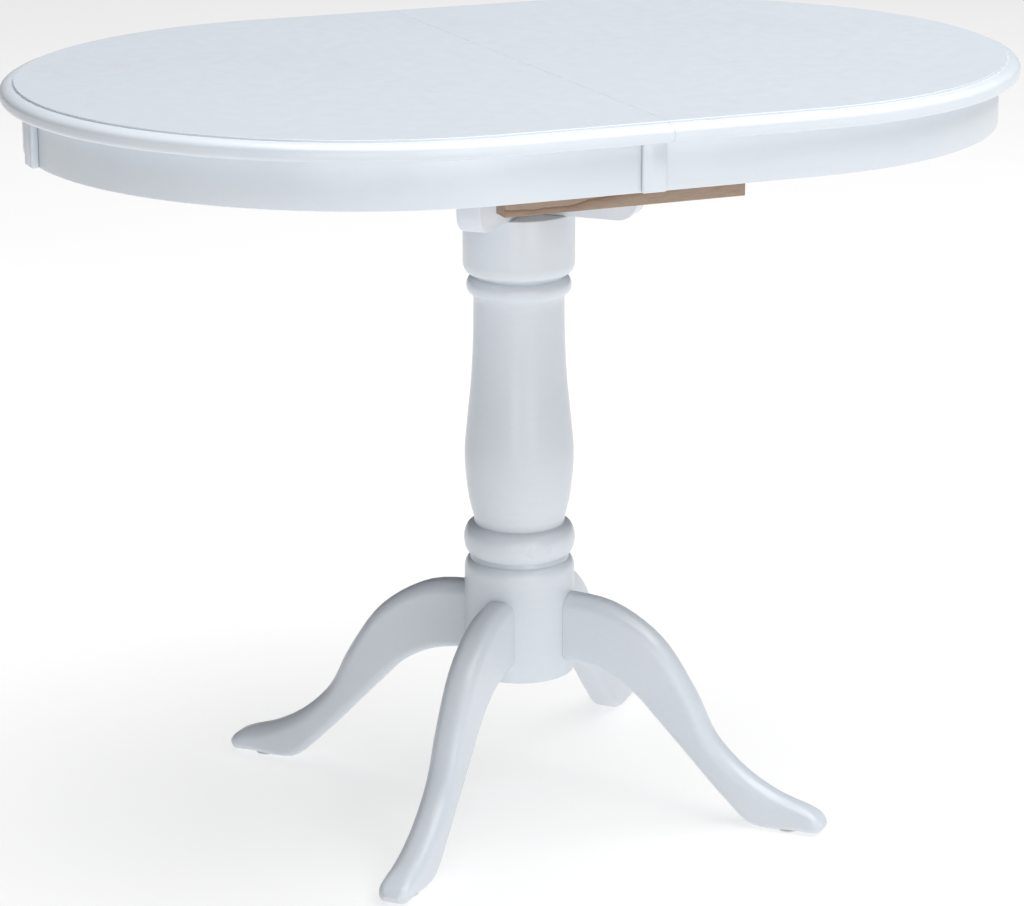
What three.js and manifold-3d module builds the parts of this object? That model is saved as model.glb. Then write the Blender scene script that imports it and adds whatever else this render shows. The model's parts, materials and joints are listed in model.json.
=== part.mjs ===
// Extending pedestal table with a rounded top: a turned column on four swept legs carries a
// crosswise board, and the two halves of the top slide apart on wooden rails over a folded leaf.
// Millimetres. Z is up, X is the long way of the top, and the floor is Z = 0 under the column.

import * as THREE from 'three';
import { mergeVertices } from 'three/addons/utils/BufferGeometryUtils.js';
import Module from 'manifold-3d';

const wasm = await Module();
wasm.setup();

// Driving sizes of the whole table
const TOP_LENGTH = 1000;
const TOP_WIDTH = 700;
const TOP_HEIGHT = 750;
const OPENING = 290;

// Fits between pieces
const TOUCH_GAP = 0.3;
const SLIDE_GAP = 0.6;
const SEAM_GAP = 0.1;
const BORE_GAP = 0.3;

// Top slab and its moulded edge
const SLAB_THICK = 18;
const SLAB_STEP_INSET = 13;
const SLAB_STEP_DROP = 2;
const SLAB_LEDGE = 1;
const SLAB_NOSE_DROP = 7;
const SLAB_LOWER_ROUND = 5;
const DOWEL_RADIUS = 4;
const DOWEL_REACH = 14;
const DOWEL_SEAT = 20;
const DOWEL_END_ROOM = 2;
const DOWEL_EDGE_INSET = 50;

// Apron below the slab
const APRON_INSET = 20;
const APRON_THICK = 18;
const APRON_HEIGHT = 46;
const END_BLOCK_PROUD = 7;
const SEAM_BLOCK_PROUD = 4;
const BLOCK_WIDTH = 23;
const BLOCK_EASE = 1.2;

// Bearer cross, board and slides
const BEARER_WIDTH = 25;
const BEARER_HEIGHT = 52;
const BEARER_REACH = 127;
const BEARER_CORNER = 20;
const BOARD_END_CLEAR = 62;
const BOARD_WIDTH = 190;
const CLEAT_LENGTH = 240;
const CLEAT_THICK = 20;
const BOARD_THICK = 18;
const RAIL_WIDTH = 20;
const RAIL_HEIGHT = 40;
const RAIL_END_CLEAR = 62;
const TONGUE_DEPTH = 5.4;
const TONGUE_HEIGHT = 8.4;
const TONGUE_RISE = 24;
const RUNNER_WIDTH = 19.4;
const RUNNER_FLOAT = 6;
const RUNNER_PAST_SEAM = 100;
const BOARD_DROP = 58;

// Turned column: its mouldings stand over the tops of the legs or hang below its own top
const COLUMN_RADIUS = 55;
const COLUMN_BELOW_LEGS = 18;
const COLUMN_EASE = 1.5;
const SHOULDER = { rise: 20, wide: 6, high: 12 };
const BEAD = { rise: 52, wide: 8, high: 15.5, inset: 7.5 };
const COVE = { rise: 68, inset: 10 };
const VASE_RISE = 74;
const VASE_DROP = 87;
const RING = { drop: 74, wide: 5.6, high: 8.5, inset: 9 };
const COLLAR_DROP = 64.5;
const CAP = { drop: 50, wide: 7, high: 12 };
const RECESS_RADIUS = 36;
const RECESS_OVER_BOLT = 35;
const BEARER_BOLT_RADIUS = 5;
const BEARER_BOLT_DEPTH = 90;
const BEARER_BOLT_HEAD = 9;
const BEARER_BOLT_HEAD_HIGH = 6;
const BEARER_BOLT_SINK = 2;

// Legs, their bolts and the glides under their feet
const LEG_COUNT = 4;
const LEG_SPREAD = 325;
const LEG_THICK = 32;
const LEG_ROUND = 11;
const LEG_TOP = 219;
const LEG_ROOT_HIGH = 68;
const LEG_ROOT_INSET = 15;
const LEG_CURVE_SPAN = 270;
const LEG_CURVE_RISE = 219;
const HEEL_INSET = 72;
const LEG_STATIONS = 21;
const TOE_ROUND = 12;
const LEG_BOLT_DROP = 29;
const LEG_BOLT_RADIUS = 4;
const LEG_BOLT_BITE = 63;
const LEG_BOLT_PAST_NUT = 2.4;
const NUT_RADIUS = 9;
const NUT_THICK = 8;
const GLIDE_RADIUS = 11;
const GLIDE_THICK = 2;
const GLIDE_EASE = 0.6;
const GLIDE_PIN_RADIUS = 1.5;
const GLIDE_PIN_LENGTH = 12;
const GLIDE_INSET = 38;

// Folded insert leaf and its hinges
const LEAF_SPACE = 3.4;
const LEAF_SIDE_CLEAR = 6;
const LEAF_SHIFT = -3;
const HINGE_WIDTH = 40;
const HINGE_LEAF_LONG = 24;
const HINGE_PLATE = 1.2;
const HINGE_BARREL = 2.2;
const HINGE_PIN = 1;
const HINGE_OFFSET = 95;

// Locks under the seam
const LOCK_PIVOT_INSET = 18;
const LOCK_SEAM_CLEAR = 4;
const LOCK_RUNNER_CLEAR = 7;
const LOCK_STRIKER_CLEAR = 2;
const LOCK_THROW = 30;
const LOCK_PLATE = 2;
const LOCK_LEVER_THICK = 4;
const LOCK_LEVER_HALF = 8;
const LOCK_TIP = 8;
const LOCK_PIN_RADIUS = 2.5;
const LOCK_SLOT_GAP = 0.8;
const LOCK_HANG = 3;

// Screws through the board
const SCREW_RADIUS = 2.25;
const SCREW_LENGTH = 45;
const SCREW_HEAD_RADIUS = 4.5;
const SCREW_HEAD_HIGH = 3.5;
const SCREW_HEAD_RIM = 1;
const SCREW_POINT = 5;
const SCREW_REACH = 95;

// Places worked out from the sizes above
const endRadius = TOP_WIDTH / 2;
const halfStraight = TOP_LENGTH / 2 - endRadius;
const slabUnder = TOP_HEIGHT - SLAB_THICK;
const apronTop = slabUnder - TOUCH_GAP;
const apronUnder = slabUnder - APRON_HEIGHT;
const apronOuter = endRadius - APRON_INSET;
const apronInner = apronOuter - APRON_THICK;
const boardTop = slabUnder - BOARD_DROP;
const boardUnder = boardTop - BOARD_THICK;
const bearerTop = boardUnder - TOUCH_GAP;
const bearerUnder = boardUnder - BEARER_HEIGHT;
const columnTop = bearerUnder - TOUCH_GAP;
const columnFoot = LEG_TOP - LEG_ROOT_HIGH - COLUMN_BELOW_LEGS;
const legBase = GLIDE_THICK + TOUCH_GAP;
const legBoltHeight = LEG_TOP - LEG_BOLT_DROP;
const nutSeat = Math.sqrt((RECESS_RADIUS - TOUCH_GAP) ** 2 - NUT_RADIUS ** 2);
const railTop = boardTop + TOUCH_GAP + RAIL_HEIGHT;
const tongueMid = boardTop + TONGUE_RISE;
const runnerUnder = boardTop + RUNNER_FLOAT;
const leafLength = TOP_WIDTH / 2;
const leafMid = boardTop + TOUCH_GAP + SLAB_THICK + LEAF_SPACE / 2;
const runnerStep = RAIL_WIDTH / 2 + SLIDE_GAP;
const railOffset = leafLength / 2 + LEAF_SIDE_CLEAR + RUNNER_WIDTH + runnerStep;
const outerRunnerEdge = railOffset + runnerStep + RUNNER_WIDTH;
const railReach = halfStraight + Math.sqrt(apronInner ** 2 - outerRunnerEdge ** 2) - RAIL_END_CLEAR;
const boardReach = apronInner - BOARD_END_CLEAR;
const lockPlateHalf = LOCK_PIVOT_INSET - LOCK_SEAM_CLEAR;
const lockOffset = outerRunnerEdge + LOCK_RUNNER_CLEAR + lockPlateHalf;

const whiteLacquer = new THREE.MeshStandardMaterial({ color: 0xe6eaee, roughness: 0.35, metalness: 0 });
const topLacquer = new THREE.MeshStandardMaterial({ color: 0xf0f3f6, roughness: 0.3, metalness: 0 });
const bareWood = new THREE.MeshStandardMaterial({ color: 0xb08a66, roughness: 0.65, metalness: 0 });
const zincSteel = new THREE.MeshStandardMaterial({ color: 0xb4b7ba, roughness: 0.35, metalness: 1 });
const yellowBrass = new THREE.MeshStandardMaterial({ color: 0xb89a4e, roughness: 0.35, metalness: 1 });
const feltPlastic = new THREE.MeshStandardMaterial({ color: 0xd8d8d4, roughness: 0.7, metalness: 0 });

const table = new THREE.Group();

// Adds one named piece to the table.
function addPiece(name, geometry, material) {
  const mesh = new THREE.Mesh(geometry, material);
  mesh.name = name;
  table.add(mesh);
}

// Turns a closed geometry into a solid that can be joined and cut.
function toSolid(geometry) {
  const bare = geometry.clone();
  bare.deleteAttribute('normal');
  bare.deleteAttribute('uv');
  const merged = mergeVertices(bare, 1e-4);
  const vertProperties = new Float32Array(merged.attributes.position.array);
  const triVerts = new Uint32Array(merged.index.array);
  return new wasm.Manifold(new wasm.Mesh({ numProp: 3, vertProperties, triVerts }));
}

// Turns a solid back into a geometry.
function toGeometry(solid) {
  const mesh = solid.getMesh();
  const geometry = new THREE.BufferGeometry();
  geometry.setAttribute('position', new THREE.BufferAttribute(new Float32Array(mesh.vertProperties), 3));
  geometry.setIndex(new THREE.BufferAttribute(new Uint32Array(mesh.triVerts), 1));
  geometry.computeVertexNormals();
  return geometry;
}

// Cuts every tool out of a body.
function cut(body, ...tools) {
  return toGeometry(tools.reduce((solid, tool) => solid.subtract(toSolid(tool)), toSolid(body)));
}

// Joins a body with every other geometry given.
function join(body, ...others) {
  return toGeometry(others.reduce((solid, other) => solid.add(toSolid(other)), toSolid(body)));
}

// A box given by its low and high corners.
function boxBetween(low, high) {
  const box = new THREE.BoxGeometry(high[0] - low[0], high[1] - low[1], high[2] - low[2]);
  box.translate((low[0] + high[0]) / 2, (low[1] + high[1]) / 2, (low[2] + high[2]) / 2);
  return box;
}

// An upright cylinder between two heights.
function uprightRod(x, y, radius, low, high, sides = 16) {
  const rod = new THREE.CylinderGeometry(radius, radius, high - low, sides);
  rod.rotateX(Math.PI / 2);
  rod.translate(x, y, (low + high) / 2);
  return rod;
}

// A level cylinder along X between two places.
function levelRod(y, z, radius, low, high, sides = 16) {
  const rod = new THREE.CylinderGeometry(radius, radius, high - low, sides);
  rod.rotateZ(Math.PI / 2);
  rod.translate((low + high) / 2, y, z);
  return rod;
}

// Revolves an outline of [radius, height] points about the upright axis.
function turned(outline, sides) {
  const points = outline.map(([radius, height]) => new THREE.Vector2(radius, height));
  const lathe = new THREE.LatheGeometry(points, sides);
  lathe.rotateX(Math.PI / 2);
  return lathe;
}

// Lifts a flat XY outline between two heights, with optional eased edges.
function raised(shape, low, high, ease = 0, steps = 12) {
  const geometry = new THREE.ExtrudeGeometry(shape, {
    depth: high - low - 2 * ease,
    bevelEnabled: ease > 0,
    bevelThickness: ease,
    bevelSize: ease,
    bevelOffset: -ease,
    bevelSegments: 2,
    curveSegments: steps,
  });
  geometry.translate(0, 0, low + ease);
  return geometry;
}

// Points of an arc of [radius, height] pairs, angles in quarter turns.
function arcPoints(centre, across, rise, from, to, count) {
  const points = [];
  for (let i = 0; i <= count; i += 1) {
    const angle = (from + ((to - from) * i) / count) * (Math.PI / 2);
    points.push([centre[0] + across * Math.cos(angle), centre[1] + rise * Math.sin(angle)]);
  }
  return points;
}

// Edge of the slab from its flat field round the nose to its underside.
function slabEdge(reach) {
  const stepHeight = TOP_HEIGHT - SLAB_STEP_DROP;
  const noseInset = SLAB_STEP_INSET - SLAB_LEDGE;
  return [
    [reach - SLAB_STEP_INSET, TOP_HEIGHT],
    ...arcPoints([reach - noseInset, stepHeight - SLAB_NOSE_DROP], noseInset, SLAB_NOSE_DROP, 1, 0, 4),
    ...arcPoints([reach - SLAB_LOWER_ROUND, slabUnder + SLAB_LOWER_ROUND],
      SLAB_LOWER_ROUND, SLAB_LOWER_ROUND, 0, -1, 3),
  ];
}

// Half of the top. Side -1 is the left half, side 1 the right half.
function halfTop(side) {
  const disc = turned([[0, TOP_HEIGHT], ...slabEdge(endRadius), [0, slabUnder]].reverse(), 64);
  disc.translate(side * halfStraight, 0, 0);
  const section = new THREE.Shape();
  const edge = slabEdge(endRadius);
  edge.forEach(([reach, height], i) => (i ? section.lineTo(reach, height) : section.moveTo(reach, height)));
  edge.reverse().forEach(([reach, height]) => section.lineTo(-reach, height));
  const straight = new THREE.ExtrudeGeometry(section, { depth: halfStraight - SEAM_GAP, bevelEnabled: false });
  straight.rotateX(Math.PI / 2);
  straight.rotateZ(Math.PI / 2);
  straight.translate(side < 0 ? -halfStraight : SEAM_GAP, 0, 0);
  const near = (side * halfStraight) / 2;
  const far = side * TOP_LENGTH;
  const keep = boxBetween(
    [Math.min(near, far), -TOP_WIDTH, 0],
    [Math.max(near, far), TOP_WIDTH, 2 * TOP_HEIGHT],
  );
  let solid = toSolid(disc).intersect(toSolid(keep)).add(toSolid(straight));
  const depth = side < 0 ? DOWEL_SEAT + BORE_GAP : DOWEL_REACH + DOWEL_END_ROOM;
  dowelPlaces().forEach((y) => {
    const low = side < 0 ? -depth : 0;
    const bore = levelRod(y, TOP_HEIGHT - SLAB_THICK / 2, DOWEL_RADIUS + BORE_GAP, low, low + depth);
    solid = solid.subtract(toSolid(bore));
  });
  return toGeometry(solid);
}

function dowelPlaces() {
  const outer = endRadius - DOWEL_EDGE_INSET;
  return [-outer, 0, outer];
}

// Wooden dowel glued into the left half, with its nose reaching over the seam.
function seamDowel(y) {
  const long = DOWEL_SEAT + DOWEL_REACH;
  const nose = DOWEL_RADIUS / 2;
  const dowel = turned([[0, 0], [DOWEL_RADIUS, 0], [DOWEL_RADIUS, long - nose], [nose, long], [0, long]], 16);
  dowel.rotateY(Math.PI / 2);
  dowel.translate(-DOWEL_SEAT, y, TOP_HEIGHT - SLAB_THICK / 2);
  return dowel;
}

// Quarter of the apron: a straight run from the seam, then a bend round to the middle of the end.
function apronQuarter(side, face) {
  const seam = SEAM_GAP;
  const trim = Math.asin(TOUCH_GAP / apronInner);
  const shape = new THREE.Shape();
  shape.moveTo(seam, apronInner);
  shape.lineTo(seam, apronOuter);
  shape.lineTo(halfStraight, apronOuter);
  shape.absarc(halfStraight, 0, apronOuter, Math.PI / 2, trim, true);
  shape.absarc(halfStraight, 0, apronInner, trim, Math.PI / 2, false);
  const apron = raised(shape, apronUnder, apronTop, 0, 20);
  return placeQuarter(apron, side, face);
}

// Turns a piece made in the +X +Y quarter into the quarter asked for, mirroring where it has to.
function placeQuarter(geometry, side, face) {
  if (side === face) {
    geometry.rotateZ(side < 0 ? Math.PI : 0);
    return geometry;
  }
  const mirrored = toGeometry(toSolid(geometry).mirror([1, 0, 0]));
  mirrored.rotateZ(side < 0 ? 0 : Math.PI);
  return mirrored;
}

// Cover block on the middle of the rounded end, where two apron quarters meet.
function endBlock(side) {
  const half = BLOCK_WIDTH / 2;
  const outer = halfStraight + apronOuter;
  const shape = new THREE.Shape();
  shape.moveTo(outer - END_BLOCK_PROUD, -half);
  shape.lineTo(outer + END_BLOCK_PROUD, -half);
  shape.lineTo(outer + END_BLOCK_PROUD, half);
  shape.lineTo(outer - END_BLOCK_PROUD, half);
  const block = raised(shape, apronUnder, apronTop, BLOCK_EASE);
  const bend = uprightRod(halfStraight, 0, apronOuter + TOUCH_GAP, 0, 2 * TOP_HEIGHT, 192);
  const seated = cut(block, bend);
  seated.rotateZ(side < 0 ? Math.PI : 0);
  return seated;
}

// Cover block on the long side with one edge at the seam.
function seamBlock(side) {
  const shape = new THREE.Shape();
  shape.moveTo(SEAM_GAP, apronOuter + TOUCH_GAP);
  shape.lineTo(SEAM_GAP + BLOCK_WIDTH, apronOuter + TOUCH_GAP);
  shape.lineTo(SEAM_GAP + BLOCK_WIDTH, apronOuter + SEAM_BLOCK_PROUD);
  shape.lineTo(SEAM_GAP, apronOuter + SEAM_BLOCK_PROUD);
  const block = raised(shape, apronUnder, apronTop, BLOCK_EASE);
  block.rotateZ(side < 0 ? Math.PI : 0);
  return block;
}

// One bar of the bearer cross, notched at its middle from above or from below.
function bearerBar(notchAbove, turn) {
  const high = bearerTop - bearerUnder;
  const notch = BEARER_WIDTH / 2 + TOUCH_GAP;
  const lap = high / 2;
  const shape = new THREE.Shape();
  shape.moveTo(-BEARER_REACH + BEARER_CORNER, 0);
  if (!notchAbove) {
    shape.lineTo(-notch, 0);
    shape.lineTo(-notch, lap + TOUCH_GAP / 2);
    shape.lineTo(notch, lap + TOUCH_GAP / 2);
    shape.lineTo(notch, 0);
  }
  shape.lineTo(BEARER_REACH - BEARER_CORNER, 0);
  shape.absarc(BEARER_REACH - BEARER_CORNER, BEARER_CORNER, BEARER_CORNER, -Math.PI / 2, 0, false);
  shape.lineTo(BEARER_REACH, high);
  if (notchAbove) {
    shape.lineTo(notch, high);
    shape.lineTo(notch, lap - TOUCH_GAP / 2);
    shape.lineTo(-notch, lap - TOUCH_GAP / 2);
    shape.lineTo(-notch, high);
  }
  shape.lineTo(-BEARER_REACH, high);
  shape.absarc(-BEARER_REACH + BEARER_CORNER, BEARER_CORNER, BEARER_CORNER, Math.PI, 1.5 * Math.PI, false);
  const bar = new THREE.ExtrudeGeometry(shape, { depth: BEARER_WIDTH, bevelEnabled: false, curveSegments: 6 });
  bar.rotateX(Math.PI / 2);
  bar.translate(0, BEARER_WIDTH / 2, bearerUnder);
  const bores = [
    uprightRod(0, 0, BEARER_BOLT_RADIUS + BORE_GAP, 0, 2 * TOP_HEIGHT),
    uprightRod(0, 0, BEARER_BOLT_HEAD + BORE_GAP, boltHeadUnder() - BORE_GAP, 2 * TOP_HEIGHT, 24),
  ];
  [-1, 1].forEach((end) => {
    const floor = screwTip() - BORE_GAP;
    bores.push(uprightRod(end * SCREW_REACH, 0, SCREW_RADIUS + BORE_GAP, floor, 2 * TOP_HEIGHT, 12));
  });
  const bored = cut(bar, ...bores);
  bored.rotateZ(turn);
  return bored;
}

function boltHeadUnder() {
  return bearerTop - BEARER_BOLT_HEAD_HIGH - BEARER_BOLT_SINK;
}

function screwTip() {
  return boardTop - SCREW_LENGTH;
}

// Coach bolt down through the cross into the top of the column.
function bearerBolt() {
  const tip = columnTop - BEARER_BOLT_DEPTH;
  const neck = boltHeadUnder();
  const head = neck + BEARER_BOLT_HEAD_HIGH;
  const round = arcPoints([0, neck + 2], BEARER_BOLT_HEAD, head - neck - 2, 0, 1, 4).slice(0, -1);
  return turned([
    [0, tip],
    [BEARER_BOLT_RADIUS - 2, tip],
    [BEARER_BOLT_RADIUS, tip + 6],
    [BEARER_BOLT_RADIUS, neck],
    [BEARER_BOLT_HEAD, neck],
    ...round,
    [0, head],
  ], 20);
}

// Turned column, hollow below for the leg nuts and bored above for the bearer bolt.
function column() {
  const big = COLUMN_RADIUS;
  const recessTop = legBoltHeight + RECESS_OVER_BOLT;
  const boltBottom = columnTop - BEARER_BOLT_DEPTH - BORE_GAP;
  const ringRadius = big - RING.inset;
  const outline = [
    [0, recessTop],
    [RECESS_RADIUS, recessTop],
    [RECESS_RADIUS, columnFoot],
    [big - COLUMN_EASE, columnFoot],
    [big, columnFoot + COLUMN_EASE],
    ...arcPoints([big - SHOULDER.wide, LEG_TOP + SHOULDER.rise], SHOULDER.wide, SHOULDER.high, 0, 0.9, 3),
    ...arcPoints([big - BEAD.inset, LEG_TOP + BEAD.rise], BEAD.wide, BEAD.high, -0.92, 0.9, 6),
    [big - COVE.inset, LEG_TOP + COVE.rise],
    ...vasePoints(),
    ...arcPoints([ringRadius, columnTop - RING.drop], RING.wide, RING.high, -0.9, 0.9, 5),
    [ringRadius, columnTop - COLLAR_DROP],
    ...arcPoints([big - CAP.wide, columnTop - CAP.drop], CAP.wide, CAP.high, -0.9, 0, 3),
    [big, columnTop - COLUMN_EASE],
    [big - COLUMN_EASE, columnTop],
    [BEARER_BOLT_RADIUS + BORE_GAP, columnTop],
    [BEARER_BOLT_RADIUS + BORE_GAP, boltBottom],
    [0, boltBottom],
  ];
  const body = turned(outline, 40);
  const bores = legTurns().map((turn) => {
    const rod = levelRod(0, legBoltHeight, LEG_BOLT_RADIUS + BORE_GAP, RECESS_RADIUS / 2, 2 * big, 12);
    rod.rotateZ(turn);
    return rod;
  });
  return cut(body, ...bores);
}

// Outline of the vase-shaped stretch from the waist over the belly to the slim neck:
// how far each point lies inside the column's radius, and its share of the stretch's height.
function vasePoints() {
  const low = LEG_TOP + VASE_RISE;
  const high = columnTop - VASE_DROP;
  const spots = [[9.5, 0], [4, 0.107], [0.7, 0.277], [3, 0.43], [7.6, 0.634], [9.8, 0.83], [10.3, 1]];
  const curve = new THREE.CatmullRomCurve3(spots.map(([inset, share]) => (
    new THREE.Vector3(COLUMN_RADIUS - inset, low + share * (high - low), 0))));
  return curve.getPoints(11).map((point) => [point.x, point.y]);
}

function legTurns() {
  return Array.from({ length: LEG_COUNT }, (_, i) => Math.PI / 4 + (i * 2 * Math.PI) / LEG_COUNT);
}

// Joins rings of points, each with the same count, into one closed skin with flat ends.
function loft(rings) {
  const count = rings[0].length;
  const last = (rings.length - 1) * count;
  const index = [];
  for (let i = 0; i < last; i += count) {
    for (let k = 0; k < count; k += 1) {
      const next = (k + 1) % count;
      index.push(i + k, i + next, i + count + next, i + k, i + count + next, i + count + k);
    }
  }
  for (let k = 1; k < count - 1; k += 1) {
    index.push(0, k + 1, k);
    index.push(last, last + k, last + k + 1);
  }
  const geometry = new THREE.BufferGeometry();
  geometry.setAttribute('position', new THREE.BufferAttribute(new Float32Array(rings.flat(2)), 3));
  geometry.setIndex(index);
  return geometry;
}

// Smooth side curve of a leg through [reach, height] points.
function sideCurve(points) {
  return new THREE.CatmullRomCurve3(points.map(([reach, height]) => new THREE.Vector3(reach, 0, height)));
}

// A place on a leg's side curve. The curves are drawn for one span and rise, and stretch with the leg.
function legPlace(reach, height) {
  const along = (reach * (LEG_SPREAD - COLUMN_RADIUS)) / LEG_CURVE_SPAN;
  return [COLUMN_RADIUS + along, (height * LEG_TOP) / LEG_CURVE_RISE];
}

// Upper edge of a leg: a swept knee, a slim ankle and a foot that falls to the toe.
function legUpperEdge() {
  const toe = LEG_SPREAD;
  return sideCurve([
    [COLUMN_RADIUS - LEG_ROOT_INSET, LEG_TOP],
    legPlace(43, 213),
    legPlace(95, 182),
    legPlace(131, 132),
    legPlace(154, 88),
    legPlace(185, 57),
    legPlace(217, 38),
    [toe - 25, 28],
    [toe - 8, 20],
    [toe, 11],
  ]);
}

// Lower edge of a leg, matched point by point to the upper one, down to the heel and the flat sole.
function legLowerEdge() {
  const toe = LEG_SPREAD;
  return sideCurve([
    [COLUMN_RADIUS - LEG_ROOT_INSET, LEG_TOP - LEG_ROOT_HIGH],
    legPlace(33, 144),
    legPlace(69, 126),
    legPlace(97, 99),
    legPlace(129, 66),
    legPlace(165, 29),
    [toe - HEEL_INSET, legBase],
    [toe - 28, legBase],
    [toe - 8, legBase],
    [toe - 1, legBase + 4],
  ]);
}

// Rounded section of a leg between a point of its upper edge and one of its lower edge.
function legSection(upper, lower) {
  const past = Math.max(0, upper.x - (LEG_SPREAD - TOE_ROUND)) / TOE_ROUND;
  const narrowing = TOE_ROUND * (1 - Math.sqrt(1 - Math.min(past, 0.95) ** 2));
  const half = LEG_THICK / 2 - narrowing;
  const high = upper.distanceTo(lower);
  const round = Math.min(LEG_ROUND, 0.45 * high, 0.9 * half);
  const corners = [[1, 1, 0], [-1, 1, 1], [-1, -1, 2], [1, -1, 3]];
  return corners.flatMap(([across, rise, turns]) => {
    const centre = [across * (half - round), high / 2 + rise * (high / 2 - round)];
    return arcPoints(centre, round, round, turns, turns + 1, 2).map(([y, along]) => {
      const point = lower.clone().lerp(upper, along / high);
      return [point.x, y, Math.max(point.z, legBase)];
    });
  });
}

// One leg, hollowed to sit on the column and bored for its bolt and its glide.
function leg(turn) {
  const upper = legUpperEdge();
  const lower = legLowerEdge();
  const rings = [];
  for (let i = 0; i <= LEG_STATIONS; i += 1) {
    rings.push(legSection(upper.getPoint(i / LEG_STATIONS), lower.getPoint(i / LEG_STATIONS)));
  }
  const body = loft(rings);
  const seat = uprightRod(0, 0, COLUMN_RADIUS + TOUCH_GAP, 0, TOP_HEIGHT, 128);
  const boltEnd = COLUMN_RADIUS + LEG_BOLT_BITE + BORE_GAP;
  const bolt = levelRod(0, legBoltHeight, LEG_BOLT_RADIUS + BORE_GAP, 0, boltEnd, 12);
  const glideTop = GLIDE_THICK + GLIDE_PIN_LENGTH + BORE_GAP;
  const glide = uprightRod(LEG_SPREAD - GLIDE_INSET, 0, GLIDE_PIN_RADIUS + BORE_GAP, 0, glideTop, 10);
  const shaped = cut(body, seat, bolt, glide);
  shaped.rotateZ(turn);
  return shaped;
}

// Threaded hanger bolt from the hollow of the column out into a leg.
function legBolt(turn) {
  const inner = nutSeat - NUT_THICK - LEG_BOLT_PAST_NUT;
  const bolt = levelRod(0, legBoltHeight, LEG_BOLT_RADIUS, inner, COLUMN_RADIUS + LEG_BOLT_BITE, 12);
  bolt.rotateZ(turn);
  return bolt;
}

// Hexagon nut drawn up against the inside of the column.
function legNut(turn) {
  const nut = levelRod(0, legBoltHeight, NUT_RADIUS, nutSeat - NUT_THICK, nutSeat, 6);
  const bore = levelRod(0, legBoltHeight, LEG_BOLT_RADIUS + BORE_GAP, 0, COLUMN_RADIUS, 12);
  const threaded = cut(nut, bore);
  threaded.rotateZ(turn);
  return threaded;
}

// Plastic glide with a pin up into the foot.
function glide(turn) {
  const pad = turned([
    [0, 0],
    [GLIDE_RADIUS - GLIDE_EASE, 0],
    [GLIDE_RADIUS, GLIDE_EASE],
    [GLIDE_RADIUS, GLIDE_THICK],
    [GLIDE_PIN_RADIUS, GLIDE_THICK],
    [GLIDE_PIN_RADIUS, GLIDE_THICK + GLIDE_PIN_LENGTH],
    [0, GLIDE_THICK + GLIDE_PIN_LENGTH],
  ], 20);
  pad.translate(LEG_SPREAD - GLIDE_INSET, 0, 0);
  pad.rotateZ(turn);
  return pad;
}

// Crosswise board under the slides, bored for the four screws into the cross.
function mountingBoard() {
  const reach = boardReach - CLEAT_THICK - TOUCH_GAP;
  const board = boxBetween([-BOARD_WIDTH / 2, -reach, boardUnder], [BOARD_WIDTH / 2, reach, boardTop]);
  const bores = legTurns().flatMap((turn) => {
    const x = SCREW_REACH * Math.cos(turn);
    const y = SCREW_REACH * Math.sin(turn);
    const floor = boardTop - SCREW_HEAD_HIGH - BORE_GAP;
    return [
      uprightRod(x, y, SCREW_RADIUS + BORE_GAP, 0, TOP_HEIGHT, 12),
      uprightRod(x, y, SCREW_HEAD_RADIUS + BORE_GAP, floor, TOP_HEIGHT, 16),
    ];
  });
  return cut(board, ...bores);
}

// Cleat across one end of the board, longer than the board is wide.
function boardCleat(face) {
  const near = face < 0 ? -boardReach : boardReach - CLEAT_THICK;
  return boxBetween([-CLEAT_LENGTH / 2, near, boardUnder], [CLEAT_LENGTH / 2, near + CLEAT_THICK, boardTop]);
}

// Countersunk screw from the board down into the cross.
function boardScrew(turn) {
  const neck = boardTop - SCREW_HEAD_HIGH;
  const screw = turned([
    [0, screwTip()],
    [SCREW_RADIUS, screwTip() + SCREW_POINT],
    [SCREW_RADIUS, neck],
    [SCREW_HEAD_RADIUS, boardTop - SCREW_HEAD_RIM],
    [SCREW_HEAD_RADIUS, boardTop],
    [0, boardTop],
  ], 12);
  screw.translate(SCREW_REACH * Math.cos(turn), SCREW_REACH * Math.sin(turn), 0);
  return screw;
}

// Runs a [y, z] outline along X between two places.
function alongX(outline, low, high) {
  const shape = new THREE.Shape(outline.map(([y, z]) => new THREE.Vector2(y, z)));
  const bar = new THREE.ExtrudeGeometry(shape, { depth: high - low, bevelEnabled: false });
  bar.rotateX(Math.PI / 2);
  bar.rotateZ(Math.PI / 2);
  bar.translate(low, 0, 0);
  return bar;
}

// Fixed rail with a groove down each side.
function centreRail(face) {
  const half = RAIL_WIDTH / 2;
  const deep = half - TONGUE_DEPTH - SLIDE_GAP;
  const groove = TONGUE_HEIGHT / 2 + SLIDE_GAP;
  const under = boardTop + TOUCH_GAP;
  const outline = [
    [half, under],
    [half, tongueMid - groove],
    [deep, tongueMid - groove],
    [deep, tongueMid + groove],
    [half, tongueMid + groove],
    [half, railTop],
  ];
  const other = outline.map(([y, z]) => [-y, z]).reverse();
  const rail = alongX([...outline, ...other], -railReach, railReach);
  rail.translate(0, face * railOffset, 0);
  return rail;
}

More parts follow.
